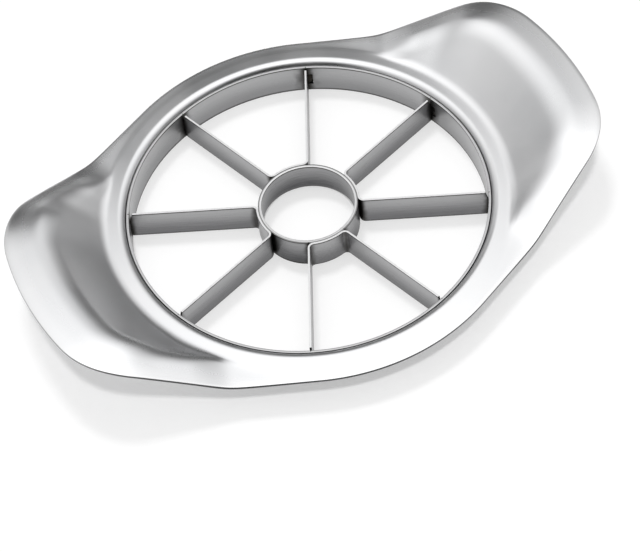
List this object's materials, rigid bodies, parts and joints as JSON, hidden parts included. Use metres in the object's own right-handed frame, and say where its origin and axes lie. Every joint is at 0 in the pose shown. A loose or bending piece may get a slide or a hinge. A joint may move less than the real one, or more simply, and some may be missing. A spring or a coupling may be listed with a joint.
{
  "type": "apple slicer and corer",
  "caption": "Hand press with radial blades round a core ring, set in a band under a pressed frame with raised wing handles; pushed down, it wedges and cores an apple.",
  "frame": {"origin": "on the axis of the core ring, at the level of the cutting edges and of the band's lower edge", "axes": "+X along the wing handles, +Z from the cutting edges up towards the hands, +Y across the handles"},
  "size_m": [0.1482, 0.106, 0.02],
  "materials": {
    "frame_steel": "fine satin, bright on the crests",
    "band_steel": "rolled strip, satin",
    "core_steel": "turned, satin",
    "blade_steel": "ground strip, satin with bright edges",
    "weld_steel": "tack welds, slightly heat tinted"
  },
  "bodies": {
    "root": {"frame": "frame_steel", "band": "band_steel", "core_ring": "core_steel", "blade_strip_1": "blade_steel", "blade_strip_2": "blade_steel", "blade_strip_3": "blade_steel", "blade_strip_4": "blade_steel", "tab_welds": "weld_steel", "collar_welds": "weld_steel"}
  },
  "joints": []
}
